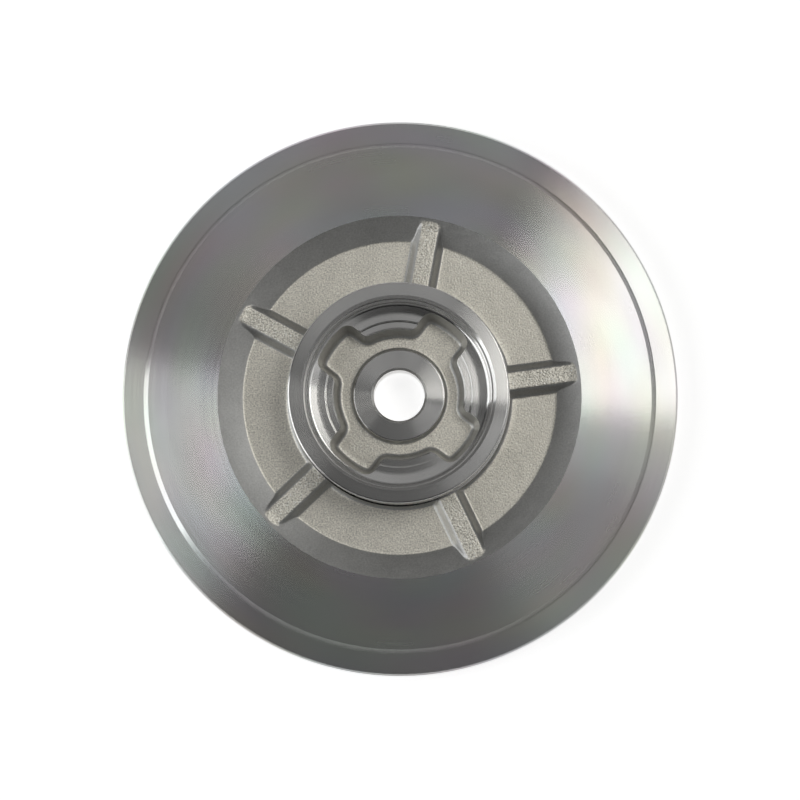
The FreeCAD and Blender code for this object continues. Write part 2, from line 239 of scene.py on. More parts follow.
def flange_and_pocket(p):
    """Land, step and flange face, then the cast pocket down to the ring's foot."""
    crowding_radius = p.pocket_radius + CROWDING_LEAD
    return [
        Corner(p.outer_radius - p.rim_chamfer, p.land_height, "flange", "turned", 2),
        Corner(p.land_inner_radius, p.land_height, "flange", "turned", 1),
        Corner(p.flange_radius, p.flange_height, "flange", "turned", 4),
        Corner(crowding_radius, p.flange_height, "flange", "turned", 2),
        Corner(p.pocket_radius, p.flange_height, "pocket", "cast", 9),
        Corner(slope_radius(p, 0.55), slope_height(p, 0.55), "pocket", "cast", 8),
        Corner(p.pocket_floor_radius, p.pocket_floor_height, "pocket", "cast", 12,
               p.pocket_foot_fillet, 4),
        Corner(p.ring_cast_radius, p.pocket_floor_height, "pocket", "cast", 1,
               p.ring_foot_fillet, 5),
    ]


def register_ring(p):
    """Outside, top and stepped mouth of the register ring."""
    wall_radius = p.mouth_radius - p.mouth_chamfer
    return [
        Corner(p.ring_cast_radius, p.ring_seat_height, "ring_outside", "turned"),
        Corner(p.ring_radius, p.ring_seat_height, "ring_outside", "turned", 4),
        Corner(p.ring_radius, p.ring_height, "ring_top", "turned", 2, p.ring_rounding, 5),
        Corner(p.mouth_radius, p.ring_height, "ring_inside", "turned"),
        Corner(wall_radius, p.ring_height - p.mouth_chamfer, "ring_inside", "bored", 1),
        Corner(wall_radius, p.mouth_step_height, "ring_inside", "turned"),
        Corner(p.insert_bore_radius + p.insert_bore_chamfer, p.mouth_step_height,
               "ring_inside", "turned"),
        Corner(p.insert_bore_radius, p.mouth_step_height - p.insert_bore_chamfer,
               "ring_inside", "bored", 1),
    ]


def hub_inside_the_ring(p):
    """Ledges, the cross pocket cut through the middle of a pad, boss and bore."""
    return [
        Corner(p.insert_bore_radius, p.ledge_height + p.dish_rise, "ledges", "turned", 4,
               p.insert_bore_fillet, 6),
        Corner(p.dish_radius, p.ledge_height, "ledges", "turned", 2),
        Corner(p.ledge_inner_radius, p.ledge_height, "ledges", "turned", 0,
               p.ledge_step_run, 5),
        Corner(p.ledge_inner_radius - p.ledge_step_run, p.pad_height, "ledges", "turned", 1),
        Corner(p.pad_chamfer_radius, p.pad_height, "ledges", "turned"),
        Corner(p.pad_chamfer_radius - p.pad_chamfer, p.pad_height - p.pad_chamfer, "wall",
               "cast", 8),
        Corner(cross_foot_radius(p), p.cross_floor_height, "floor", "cast", 7,
               p.cross_foot_fillet, 6),
        Corner(p.boss_radius + p.boss_foot_run, p.cross_floor_height, "boss_foot", "cast", 1,
               p.boss_foot_fillet, 4),
        Corner(p.boss_radius, p.boss_height, "boss", "turned", 3, p.boss_rounding, 5),
        Corner(p.bore_radius + p.bore_chamfer, p.boss_height, "boss", "turned"),
        Corner(p.bore_radius, p.boss_height - p.bore_chamfer, "boss", "turned", 3),
        Corner(p.bore_radius, p.recess_depth + p.bore_chamfer, "boss", "turned"),
    ]


def slope_radius(p, share):
    """Radius a share of the way down the pocket's slope."""
    return p.pocket_radius + share * (p.pocket_floor_radius - p.pocket_radius)


def slope_height(p, share):
    """Height at the same place."""
    return p.flange_height + share * (p.pocket_floor_height - p.flange_height)


def cross_foot_radius(p):
    """Where the cross pocket's wall meets its floor between two arms."""
    drop = p.cross_plane_height - p.cross_floor_height
    return p.cross_centre_radius - drop * math.tan(p.cross_draft)


# ---------------------------------------------------------------- the spun blank

class Row:
    """One circle of the spun blank: its nominal place, its corner and its share of the side.

    ends_rounding is true where a rounding meets the side beside it.
    """

    def __init__(self, radius, height, corner, share):
        self.radius, self.height = radius, height
        self.corner, self.share = corner, share
        self.ends_rounding = False


def walk(bm, corners):
    """Vertices and edges of the closed section in order, from its first corner outward."""
    start = Vector((corners[0].radius, 0.0, corners[0].height))
    first = min(bm.verts, key=lambda vert: (vert.co - start).length)
    side = max(first.link_edges, key=lambda edge: edge.other_vert(first).co.x)
    verts, edges = [first], [side]
    while True:
        vert = edges[-1].other_vert(verts[-1])
        if vert == first:
            return verts, edges
        verts.append(vert)
        edges.append(next(edge for edge in vert.link_edges if edge != edges[-1]))


def round_corner(bm, before, corner, after):
    """Rounds one corner of the section to its radius."""
    spot = Vector((corner.radius, 0.0, corner.height))
    point = min(bm.verts, key=lambda vert: (vert.co - spot).length)
    back = Vector((before.radius - corner.radius, before.height - corner.height))
    ahead = Vector((after.radius - corner.radius, after.height - corner.height))
    reach = corner.rounding / math.tan(back.angle(ahead) / 2)
    bmesh.ops.bevel(bm, geom=[point], offset=reach, offset_type="OFFSET",
                    segments=corner.segments, profile=0.5, affect="VERTICES", material=-1)


def draw_section(bm, corners):
    """Draws the closed half-section and returns its rows; each vertex keeps its row's number."""
    numbers = bm.verts.layers.int.new("row")
    cuts = bm.edges.layers.int.new("cuts")
    points = [bm.verts.new((c.radius, 0.0, c.height)) for c in corners]
    for pair in zip(points, points[1:] + points[:1]):
        bm.edges.new(pair)
    for before, corner, after in zip(corners[-1:] + corners, corners, corners[1:] + corners[:1]):
        if corner.rounding:
            round_corner(bm, before, corner, after)
    edges = iter(walk(bm, corners)[1])
    for corner in corners:
        for _ in range(corner.segments):
            next(edges)[cuts] = 0
        next(edges)[cuts] = corner.cuts
    for count in sorted({corner.cuts for corner in corners} - {0}):
        sides = [edge for edge in bm.edges if edge[cuts] == count]
        bmesh.ops.subdivide_edges(bm, edges=sides, cuts=count)
    verts, _ = walk(bm, corners)
    rows = []
    for corner in corners:
        shares = [0.0] * (corner.segments + 1)
        shares += [(cut + 1) / (corner.cuts + 1) for cut in range(corner.cuts)]
        for share in shares:
            vert = verts[len(rows)]
            vert[numbers] = len(rows)
            rows.append(Row(vert.co.x, vert.co.z, corner, share))
        if corner.rounding:
            start = len(rows) - len(shares)
            rows[start].ends_rounding = rows[start + corner.segments].ends_rounding = True
    return rows


# ---------------------------------------------------------------- the cross pocket

def circle_crossing(bearing, centre, centre_bearing, radius, side):
    """Radius at which a ray at a bearing crosses a circle; side +1 is the far crossing."""
    turn = bearing - centre_bearing
    inside = max(radius ** 2 - (centre * math.sin(turn)) ** 2, 0.0)
    return centre * math.cos(turn) + side * math.sqrt(inside)


def ramp(value, start, end):
    """How far a value is on its way from start to end, kept between 0 and 1."""
    return min(max((value - start) / (end - start), 0.0), 1.0)


def stretched(value, knots):
    """A value carried through a list of (from, to) knots, straight between them."""
    for (a, b), (c, d) in zip(knots, knots[1:]):
        if value <= c:
            return b + (d - b) * (value - a) / (c - a)
    return knots[-1][1]


class CrossPocket:
    """The cross-shaped pocket: four arms with drafted walls between the pads."""
    EDGE_LUMPS = 26.0            # unevenness of its edge on the turned ledges
    EDGE_SWING = 0.05 * MM
    HALVINGS = 30                # steps of the search for that edge
    # bearings of the columns from an arm, before and after they crowd to the corners
    KNOTS = [(math.radians(a), math.radians(b)) for a, b in ((0, 0), (6, 10), (33, 29), (45, 45))]

    def __init__(self, p, rows):
        self.p = p
        self.slope = math.tan(p.cross_draft)
        self.tip_centre = p.arm_reach - p.arm_corner
        self.tip_bearing = math.asin((p.arm_half_width - p.arm_corner) / self.tip_centre)
        self.tip_run = self.tip_centre * math.cos(self.tip_bearing)
        self.pad_centre = p.cross_centre_radius + p.pad_corner
        self.pad_bearing = math.asin((p.arm_half_width + p.pad_corner) / self.pad_centre)
        self.pad_run = self.pad_centre * math.cos(self.pad_bearing)
        self.ledges = sorted((row.radius, row.height) for row in rows
                             if row.corner.zone == "ledges" or
                             row.corner.zone == "wall" and row.share == 0.0)
        foot = [row for row in rows if row.corner.zone == "floor" and row.share == 0.0]
        self.foot_top = foot[0].height
        self.toe = foot[-1].radius
        self.boss_foot = next(row.radius for row in rows if row.corner.zone == "boss_foot")
        self.edges = {}

    def bearing(self, theta):
        """Angle from the nearest arm, signed, and that arm's own angle."""
        turns = round((theta - self.p.cross_angle) / math.radians(90))
        arm = self.p.cross_angle + turns * math.radians(90)
        return theta - arm, arm

    def radius(self, bearing, inset):
        """Radius of the pocket's outline, drawn in by an inset."""
        p, half_width = self.p, self.p.arm_half_width - inset
        if bearing <= self.tip_bearing:
            return p.arm_reach - inset
        if bearing <= math.atan2(half_width, self.tip_run):
            return circle_crossing(bearing, self.tip_centre, self.tip_bearing,
                                   p.arm_corner - inset, 1)
        if bearing <= math.atan2(half_width, self.pad_run):
            return half_width / math.sin(bearing)
        if bearing <= self.pad_bearing:
            return circle_crossing(bearing, self.pad_centre, self.pad_bearing,
                                   p.pad_corner + inset, -1)
        return p.cross_centre_radius - inset

    def wall_radius(self, bearing, height):
        """Radius of the drafted wall at a height."""
        return self.radius(bearing, (self.p.cross_plane_height - height) * self.slope)

    def ledge_height(self, radius):
        """Height of the turned ledges at a radius."""
        return stretched(max(radius, self.ledges[0][0]), self.ledges)

    def edge(self, theta):
        """Radius and height at which the wall comes out on the turned ledges."""
        key = round(theta, 8)
        if key not in self.edges:
            bearing = abs(self.bearing(theta)[0])
            low, high = self.ledges[0][1], self.p.cross_plane_height
            for _ in range(self.HALVINGS):
                middle = (low + high) / 2
                if self.ledge_height(self.wall_radius(bearing, middle)) > middle:
                    low = middle
                else:
                    high = middle
            radius = self.wall_radius(bearing, low)
            radius += wobble(theta, self.EDGE_LUMPS, self.EDGE_SWING)
            self.edges[key] = radius, self.ledge_height(radius)
        return self.edges[key]

    def pull(self, row):
        """How much of the columns' crowding towards the pocket's corners a row takes."""
        p = self.p
        outer = (p.mouth_radius - row.radius) + (p.ring_height - row.height)
        outer_full = (p.mouth_radius - p.insert_bore_radius) + (p.ring_height - p.ledge_height)
        return ramp(outer, 0.0, outer_full) * ramp(row.radius, p.bore_radius, self.boss_foot)

    def turned(self, theta, row):
        """The column's angle after crowding."""
        bearing, arm = self.bearing(theta)
        crowded = math.copysign(stretched(abs(bearing), self.KNOTS), bearing)
        return arm + bearing + (crowded - bearing) * self.pull(row)

    def place(self, theta, row):
        """Radius and height of a point of this pocket."""
        p, zone = self.p, row.corner.zone
        if zone == "ledges":
            radius = max(row.radius, self.edge(theta)[0])
            return radius, self.ledge_height(radius)
        bearing = abs(self.bearing(theta)[0])
        if zone == "wall":
            edge_radius, top = self.edge(theta)
            if row.share == 0.0:
                return edge_radius, top
            height = top + (self.foot_top - top) * row.share
            return self.wall_radius(bearing, height), height
        if row.share == 0.0:
            return self.radius(bearing, p.cross_centre_radius - row.radius), row.height
        toe = self.radius(bearing, p.cross_centre_radius - self.toe)
        return toe + (self.boss_foot - toe) * row.share, row.height


# ---------------------------------------------------------------- the ribbed pocket

def wobble(theta, lumps, size):
    """A small uneven swing round the axis, the same on every run."""
    return noise.noise(Vector((math.cos(theta), math.sin(theta), 0.3)) * lumps / 2.0) * size


def power_sum(a, b, power):
    """A soft maximum of two heights."""
    return (max(a, 0.0) ** power + max(b, 0.0) ** power) ** (1.0 / power)


class RibbedPocket:
    """The cast pocket between flange and ring, crossed by equal ribs."""
    REACH = 7.0 * MM             # half-width within which columns run along the rib
    MIDDLE = 45.0 * MM           # radius at which the columns are counted out
    CROWDED = 13.0 * MM          # width of the columns that share that reach
    JOIN_POWER = 7.0             # how tightly a rib joins the pocket's slope
    END_POWER = 3.0              # how square a rib's outer end is
    STEEPNESS = 1.6              # height that the crest's rounding takes on a steep flank
    RING_ROOT = 2.0 * MM         # width beside the ring where a rib's foot runs up its wall
    EDGE_LUMPS = 40.0            # unevenness of the pocket's edge on the flange
    EDGE_SWING = 0.08 * MM

    def __init__(self, p):
        self.p = p
        self.step = math.radians(360) / p.rib_count
        self.rise = p.rib_height - p.pocket_floor_height
        side = math.hypot(p.rib_foot_run, self.rise)
        foot = p.rib_half_width + p.rib_foot_run
        path = p.rib_half_width + side + self.REACH - foot
        scale = self.CROWDED / path
        self.knots = [(0.0, 0.0), (p.rib_half_width * scale, p.rib_half_width),
                      ((p.rib_half_width + side) * scale, foot), (self.CROWDED, self.REACH)]

    def bearing(self, theta):
        """Angle from the nearest rib, signed, and that rib's own angle."""
        turns = round((theta - self.p.rib_angle) / self.step)
        rib = self.p.rib_angle + turns * self.step
        return theta - rib, rib

    def pull(self, row):
        """How much of the columns' crowding along the ribs a row takes."""
        p = self.p
        if row.radius < p.ring_cast_radius + MM:
            return ramp(row.height, p.ring_height, p.ring_seat_height)
        return ramp(row.radius, p.pocket_radius + CROWDING_LEAD, p.pocket_radius)

    def turned(self, theta, row):
        """The column's angle after crowding."""
        bearing, rib = self.bearing(theta)
        across = abs(bearing) * self.MIDDLE
        radius = max(row.radius, self.p.ring_cast_radius)
        if across <= self.CROWDED:
            crowded = math.asin(stretched(across, self.knots) / radius)
        else:
            share = ramp(across, self.CROWDED, self.step / 2 * self.MIDDLE)
            start = math.asin(self.REACH / radius)
            crowded = start + (self.step / 2 - start) * share
        crowded = math.copysign(crowded, bearing)
        return rib + bearing + (crowded - bearing) * self.pull(row)

    def rib(self, theta, radius):
        """Rise of the nearest rib above the pocket's floor."""
        p = self.p
        bearing, _ = self.bearing(theta)
        along = radius * math.cos(bearing)
        past = max(along - (p.rib_reach - p.rib_half_width), 0.0)
        across = power_sum(abs(radius * math.sin(bearing)), past, self.END_POWER)
        flank = self.rise * (1.0 - (across - p.rib_half_width) / p.rib_foot_run)
        return soft_clamp(flank, self.rise, p.rib_crest_fillet * self.STEEPNESS,
                          p.rib_foot_fillet)

    def place(self, theta, row):
        """Radius and height of a point of this pocket."""
        p = self.p
        radius, height = row.radius, row.height
        rib = self.rib(theta, radius)
        if height == p.flange_height:
            return radius + wobble(theta, self.EDGE_LUMPS, self.EDGE_SWING), height
        if radius < p.ring_cast_radius + self.RING_ROOT:
            room = p.ring_seat_height - height
            return radius, height + rib * room / (p.ring_seat_height - p.pocket_floor_height)
        base = height - p.pocket_floor_height
        return radius, p.pocket_floor_height + power_sum(base, rib, self.JOIN_POWER)


def soft_clamp(value, top, top_rounding, bottom_rounding):
    """A value held between zero and top, with rounded turns at both."""
    gap = top_rounding - abs(value - top)
    held = min(value, top) - max(gap, 0.0) ** 2 / (4 * top_rounding)
    gap = bottom_rounding - abs(held)
    return max(held, 0.0) + max(gap, 0.0) ** 2 / (4 * bottom_rounding)


# ---------------------------------------------------------------- the casting

def mark_sharp_edges(bm, skins, rows):
    """Keeps turned edges crisp and turned faces flat, and lets the cast skin run soft."""
    numbers = bm.verts.layers.int["row"]
    # circles where a turned rounding meets the face beside it
    ends = {number for number, row in enumerate(rows)
            if row.ends_rounding and row.corner.skin != "cast"}
    for edge in bm.edges:
        faces = edge.link_faces
        if len(faces) != 2:
            continue
        first, second = (face.material_index for face in faces)
        limit = CAST_SHARP if first == second == skins["cast"] else TURNED_SHARP
        edge.smooth = first == second and edge.calc_face_angle(0.0) < limit
        start, end = (vert[numbers] for vert in edge.verts)
        if start == end and start in ends:
            edge.smooth = False


def roughen_skin(bm, skin):
    """Moves the cast skin in and out a little along its normals, away from turned edges."""
    bm.normal_update()
    moves = []
    for vert in bm.verts:
        if any(face.material_index != skin for face in vert.link_faces):
            continue
        lumps = noise.fractal(vert.co / SKIN_LUMPS, 1.0, 2.0, 3)
        crest = ramp(vert.co.z, *CREST_START) * ramp(vert.co.z, *CREST_END)
        pits = noise.noise(vert.co / CREST_PITS)
        moves.append((vert, vert.normal * (lumps * SKIN_RISE + crest * pits * CREST_RISE)))
    for vert, move in moves:
        vert.co += move


def spin_casting(p, finish_slots):
    """Spins the section into a blank and works the cast pockets into it."""
    bm = bmesh.new()
    corners = section_corners(p)
    rows = draw_section(bm, corners)
    bmesh.ops.spin(bm, geom=bm.verts[:] + bm.edges[:], cent=(0, 0, 0), axis=(0, 0, 1),
                   angle=math.radians(360), steps=COLUMNS, use_merge=True)
    numbers = bm.verts.layers.int["row"]
    for face in bm.faces:
        near = sorted({vert[numbers] for vert in face.verts})
        closes = near[0] == 0 and near[-1] > 1     # the side from the last row to the first
        first = near[-1] if closes else near[0]
        face.material_index = finish_slots[rows[first].corner.skin]
        face.smooth = True
    cross, pocket = CrossPocket(p, rows), RibbedPocket(p)
    for vert in bm.verts:
        row = rows[vert[numbers]]
        zone = row.corner.zone
        if zone == "under":
            continue
        theta = math.atan2(vert.co.y, vert.co.x)
        outside = row.radius > (p.mouth_radius + p.ring_radius) / 2
        theta = (pocket if outside else cross).turned(theta, row)
        radius, height = row.radius, row.height
        if zone == "pocket":
            radius, height = pocket.place(theta, row)
        elif zone in ("ledges", "wall", "floor"):
            radius, height = cross.place(theta, row)
        vert.co = Vector((radius * math.cos(theta), radius * math.sin(theta), height))
    bmesh.ops.remove_doubles(bm, verts=bm.verts[:], dist=0.002 * MM)
    bmesh.ops.recalc_face_normals(bm, faces=bm.faces[:])
    roughen_skin(bm, finish_slots["cast"])
    mark_sharp_edges(bm, finish_slots, rows)
    return bm


def new_object(name, bm, materials):
    """Turns a bmesh into an object at the origin."""
    mesh = bpy.data.meshes.new(name)
    bm.to_mesh(mesh)
    bm.free()
    for material in materials:
        mesh.materials.append(material)
    piece = bpy.data.objects.new(name, mesh)
    bpy.context.scene.collection.objects.link(piece)
    return piece


# ---------------------------------------------------------------- finishes

class Nodes:
    """Short ways to add and join the nodes of one tree."""

    def __init__(self, tree):
        self.tree = tree

    def add(self, kind):
        """A new node."""
        return self.tree.nodes.new(kind)

    def join(self, output, socket):
        """Links an output to a socket, or sets the socket to a plain value."""
        if isinstance(output, bpy.types.NodeSocket):
            self.tree.links.new(output, socket)
        else:
            socket.default_value = output

    def sum(self, operation, *values):
        """A Math node."""
        node = self.add("ShaderNodeMath")
        node.operation = operation
        for value, socket in zip(values, node.inputs):
            self.join(value, socket)
        return node.outputs[0]

    def vector(self, operation, *values):
        """A Vector Math node."""
        node = self.add("ShaderNodeVectorMath")
        node.operation = operation
        for value, socket in zip(values, node.inputs):
            self.join(value, socket)
        return node.outputs["Value" if operation == "LENGTH" else "Vector"]

    def scaled(self, value, amount):
        """A vector made longer or shorter."""
        node = self.add("ShaderNodeVectorMath")
        node.operation = "SCALE"
        self.join(value, node.inputs[0])
        node.inputs["Scale"].default_value = amount
        return node.outputs["Vector"]

    def parts(self, value):
        """The X, Y and Z of a vector."""
        node = self.add("ShaderNodeSeparateXYZ")
        self.join(value, node.inputs[0])
        return node.outputs

    def speckle(self, place, pitch, detail, roughness=0.5, flat=False):
        """Noise whose features are about a pitch across; flat noise runs along one number."""
        node = self.add("ShaderNodeTexNoise")
        node.noise_dimensions = "1D" if flat else "3D"
        self.join(place, node.inputs["W" if flat else "Vector"])
        node.inputs["Scale"].default_value = 1.0 / pitch
        node.inputs["Detail"].default_value = detail
        node.inputs["Roughness"].default_value = roughness
        return node.outputs[0]

    def grains(self, place, pitch):
        """Rounded grains about a pitch across."""
        node = self.add("ShaderNodeTexVoronoi")
        node.feature = "SMOOTH_F1"
        self.join(place, node.inputs["Vector"])
        node.inputs["Scale"].default_value = 1.0 / pitch
        node.inputs["Smoothness"].default_value = 0.4
        return node.outputs["Distance"]

    def spread(self, value, low, high, to_low=0.0, to_high=1.0):
        """A Map Range node."""
        node = self.add("ShaderNodeMapRange")
        for number, amount in enumerate((value, low, high, to_low, to_high)):
            self.join(amount, node.inputs[number])
        return node.outputs[0]

    def blend(self, share, first, second, kind="MIX"):
        """A mix of two colours."""
        node = self.add("ShaderNodeMix")
        node.data_type = "RGBA"
        node.blend_type = kind
        self.join(share, node.inputs["Factor"])
        self.join(first, node.inputs[6])
        self.join(second, node.inputs[7])
        return node.outputs[2]

    def tint(self, first, second):
        """The product of two colours."""
        return self.blend(1.0, first, second, "MULTIPLY")

    def grey(self, value):
        """A number as a grey colour."""
        node = self.add("ShaderNodeCombineColor")
        for socket in node.inputs:
            self.join(value, socket)
        return node.outputs[0]

    def relief(self, height, depth, strength, below=None):
        """A Bump node, over another one if given."""
        node = self.add("ShaderNodeBump")
        node.inputs["Strength"].default_value = strength
        node.inputs["Distance"].default_value = depth
        self.join(height, node.inputs["Height"])
        if below is not None:
            self.join(below, node.inputs["Normal"])
        return node.outputs[0]


class Finish(Nodes):
    """A new material with one surface shader and the place on the piece."""

    def __init__(self, name, rgb):
        self.material = bpy.data.materials.new(name)
        self.material.use_nodes = True
        self.material.diffuse_color = (*rgb, 1.0)
        super().__init__(self.material.node_tree)
        self.tree.nodes.clear()
        self.output = self.add("ShaderNodeOutputMaterial")
        self.shader = self.add("ShaderNodeBsdfPrincipled")
        self.join(self.shader.outputs[0], self.output.inputs["Surface"])
        self.place = self.add("ShaderNodeTexCoord").outputs["Object"]


def shade(rgb, amount):
    """A colour made lighter or darker, as four channels."""
    return (*(min(channel * amount, 1.0) for channel in rgb), 1.0)


def turning_marks(metal, finish):
    """What the turned finishes share: the place seen flat, the tangent and the marks."""
    flat = metal.vector("MULTIPLY", metal.place, (1.0, 1.0, 0.0))
    height = metal.vector("LENGTH", metal.vector("MULTIPLY", metal.place, (0.0, 0.0, 1.0)))
    path = metal.sum("SUBTRACT", metal.vector("LENGTH", flat), height)
    marks = metal.speckle(path, finish.feed, 0.0, flat=True)
    tangent = metal.vector("NORMALIZE", metal.vector("CROSS_PRODUCT", (0.0, 0.0, 1.0), flat))
    metal.join(tangent, metal.shader.inputs["Tangent"])
    metal.shader.inputs["Anisotropic Rotation"].default_value = 0.25   # wide across the marks
    return flat, marks


def turned_metal(finish):
    """Bright aluminium whose turning marks run round the axis."""
    metal = Finish("turned_aluminium", finish.turned_colour)
    shader = metal.shader
    flat, marks = turning_marks(metal, finish)
    radius = metal.vector("LENGTH", flat)
    along = metal.add("ShaderNodeCombineXYZ")
    metal.join(radius, along.inputs["Z"])
    spot = metal.vector("ADD", metal.scaled(metal.vector("NORMALIZE", flat), TINT_RAY),
                        along.outputs[0])
    # painted sheen: rainbow tints in the base colour stand in for the iridescent reflection of
    # the turned marks
    rainbow = metal.add("ShaderNodeTexNoise")
    metal.join(spot, rainbow.inputs["Vector"])
    rainbow.inputs["Scale"].default_value = 1.0 / SHEEN_SIZE
    rainbow.inputs["Detail"].default_value = 0.5
    strength = metal.spread(radius, *SHEEN_START, 0.0, finish.tint)
    painted_sheen = metal.blend(strength, WHITE, metal.scaled(rainbow.outputs["Color"], 2.0))
    plain = metal.blend(metal.spread(marks, *NOISE_SPAN), shade(finish.turned_colour, 0.985),
                        shade(finish.turned_colour, 1.015))
    metal.join(metal.tint(plain, painted_sheen), shader.inputs["Base Color"])
    smears = metal.speckle(spot, SMEAR_SIZE, 1.0)
    rough = metal.spread(radius, HUB_EDGE, FLANGE_EDGE, finish.hub_roughness,
                         finish.flange_roughness)
    rough = metal.sum("ADD", rough, metal.spread(marks, 0.2, 0.8, -0.004, 0.004))
    rough = metal.sum("ADD", rough, metal.spread(smears, *NOISE_SPAN, -0.012, 0.012))
    metal.join(rough, shader.inputs["Roughness"])
    lean = metal.relief(metal.sum("MULTIPLY", radius, -math.tan(finish.mark_lean)), 1.0, 1.0)
    metal.join(metal.relief(marks, 0.001 * MM, 0.5, lean), shader.inputs["Normal"])
    shader.inputs["Metallic"].default_value = 1.0
    shader.inputs["Anisotropic"].default_value = TURNED_ANISOTROPY
    return metal.material


def bored_metal(finish):
    """The duller turned finish of the walls inside the ring."""
    metal = Finish("bored_aluminium", finish.turned_colour)
    shader = metal.shader
    _, marks = turning_marks(metal, finish)
    colours = metal.blend(metal.spread(marks, *NOISE_SPAN), shade(finish.turned_colour, 0.95),
                          shade(finish.turned_colour, 1.05))
    metal.join(colours, shader.inputs["Base Color"])
    metal.join(metal.spread(marks, 0.2, 0.8, finish.bored_roughness - 0.03,
                            finish.bored_roughness + 0.03), shader.inputs["Roughness"])
    metal.join(metal.relief(marks, 0.002 * MM, 0.5), shader.inputs["Normal"])
    shader.inputs["Metallic"].default_value = 0.85
    shader.inputs["Anisotropic"].default_value = 0.4
    return metal.material


def cast_metal(finish):
    """Matt grainy aluminium as it leaves the sand, with thinner grain and a painted darker shade
    on the sloping walls.
    """
    metal = Finish("cast_aluminium_skin", finish.cast_colour)
    grain = metal.grains(metal.place, finish.grain * 1.6)
    fine = metal.speckle(metal.place, finish.grain, 1.5)
    patches = metal.speckle(metal.place, PATCH_SIZE, 3.0, 0.6)
    normal = metal.parts(metal.add("ShaderNodeNewGeometry").outputs["Normal"])
    level = metal.spread(normal["Z"], *WALL_LEVEL)
    height = metal.parts(metal.place)["Z"]
    crest = metal.sum("MULTIPLY", metal.spread(height, *CREST_GRAIN_START),
                      metal.spread(height, *CREST_GRAIN_END))
    crest = metal.sum("MULTIPLY", crest, level)
    # painted shade: the walls, picked by how far their normal tilts, get the darker wall colour
    # instead of the skin's own
    skin = metal.blend(level, (*finish.painted_wall_shade, 1.0), (*finish.cast_colour, 1.0))
    depth = metal.sum("ADD", 0.45, metal.sum("MULTIPLY", level, 0.55))
    depth = metal.sum("ADD", depth, metal.sum("MULTIPLY", crest, 0.6))
    speck = metal.sum("MULTIPLY", metal.sum("SUBTRACT", fine, 0.5), depth)
    tone = metal.sum("ADD", metal.sum("MULTIPLY", speck, 1.2),
                     metal.spread(patches, *NOISE_SPAN, 0.93, 1.03))
    shader = metal.shader
    metal.join(metal.tint(skin, metal.grey(tone)), shader.inputs["Base Color"])
    metal.join(metal.spread(speck, -0.2, 0.2, finish.cast_roughness - 0.06,
                            finish.cast_roughness + 0.06), shader.inputs["Roughness"])
    coarse = metal.relief(metal.sum("MULTIPLY", grain, crest), 0.10 * MM, 0.7)
    metal.join(metal.relief(speck, 0.07 * MM, 1.0, coarse), shader.inputs["Normal"])
    shader.inputs["Metallic"].default_value = 1.0
    return metal.material


def floor_paint(rgb):
    """Pale matt floor that shows near white to the camera and keeps the shadow."""
    paint = Finish("pale_floor", rgb)
    grit = paint.speckle(paint.place, FLOOR_GRIT, 3.0, 0.6)
    paint.join(paint.blend(grit, shade(rgb, 0.99), shade(rgb, 1.01)),
               paint.shader.inputs["Base Color"])
    paint.shader.inputs["Roughness"].default_value = 0.9
    paint.shader.inputs["Specular IOR Level"].default_value = 0.1
    rays = paint.add("ShaderNodeLightPath").outputs
    seen = paint.sum("MAXIMUM", rays["Is Camera Ray"], rays["Is Glossy Ray"])
    seen = paint.sum("MAXIMUM", seen, rays["Is Transmission Ray"])
    glow = paint.add("ShaderNodeEmission")
    glow.inputs["Color"].default_value = WHITE
    paint.join(paint.sum("MULTIPLY", seen, FLOOR_GLOW), glow.inputs["Strength"])
    both = paint.add("ShaderNodeAddShader")
    paint.join(paint.shader.outputs[0], both.inputs[0])
    paint.join(glow.outputs[0], both.inputs[1])
    paint.join(both.outputs[0], paint.output.inputs["Surface"])
    return paint.material


# ---------------------------------------------------------------- the stage

# Softboxes: name, centre and the point each faces, width and height in metres,
# radiance and colour
SOFTBOXES = (
    ("right_panel", (0.44, 0.25, 1.0), (0.44, 0.25, 0.0), 0.45, 0.40, 3.5, (1.0, 0.99, 0.96)),
    ("left_softbox", (-0.75, -0.15, 0.45), (0.0, 0.0, 0.0), 0.90, 0.65, 1.8, (0.98, 0.99, 1.0)),
)


def aimed(place, target):
    """A turn that looks from a place at a target with its own up side towards +Y."""
    look = (target - place).normalized()
    side = look.cross(Vector((0.0, 1.0, 0.0)))
    if side.length < 1e-4:
        side = Vector((1.0, 0.0, 0.0))
    side.normalize()
    up = side.cross(look)
    return Matrix((side, up, -look)).transposed().to_4x4()


def add_softbox(name, centre, target, width, height, radiance, rgb):
    """A rectangular lamp that faces a point."""
    lamp = bpy.data.lights.new(name, "AREA")
    lamp.shape = "RECTANGLE"
    lamp.size, lamp.size_y = width, height
    lamp.energy, lamp.color = radiance * width * height * math.pi, rgb
    holder = bpy.data.objects.new(name, lamp)
    place = Vector(centre)
    holder.matrix_world = Matrix.Translation(place) @ aimed(place, Vector(target))
    bpy.context.scene.collection.objects.link(holder)


def add_floor(settings):
    """A wide plain floor under the plate."""
    bm = bmesh.new()
    bmesh.ops.create_grid(bm, x_segments=1, y_segments=1, size=FLOOR_SIZE / 2)
    bmesh.ops.translate(bm, verts=bm.verts[:], vec=(0.0, 0.0, PLATE_LOW.z - FLOOR_GAP))
    floor = new_object("floor", bm, [floor_paint(settings.floor_colour)])


def add_camera(settings):
    """The camera, nearly over the plate's axis."""
    data = bpy.data.cameras.new("camera")
    data.lens, data.sensor_width = settings.camera_lens, SENSOR_WIDTH
    data.clip_start, data.clip_end = 0.01, 20.0
    data.dof.use_dof = False
    camera = bpy.data.objects.new("camera", data)
    place = Vector((settings.camera_across, -settings.camera_towards, settings.camera_height))
    camera.matrix_world = Matrix.Translation(place) @ aimed(place, Vector(CAMERA_TARGET))
    bpy.context.scene.collection.objects.link(camera)
    bpy.context.scene.camera = camera


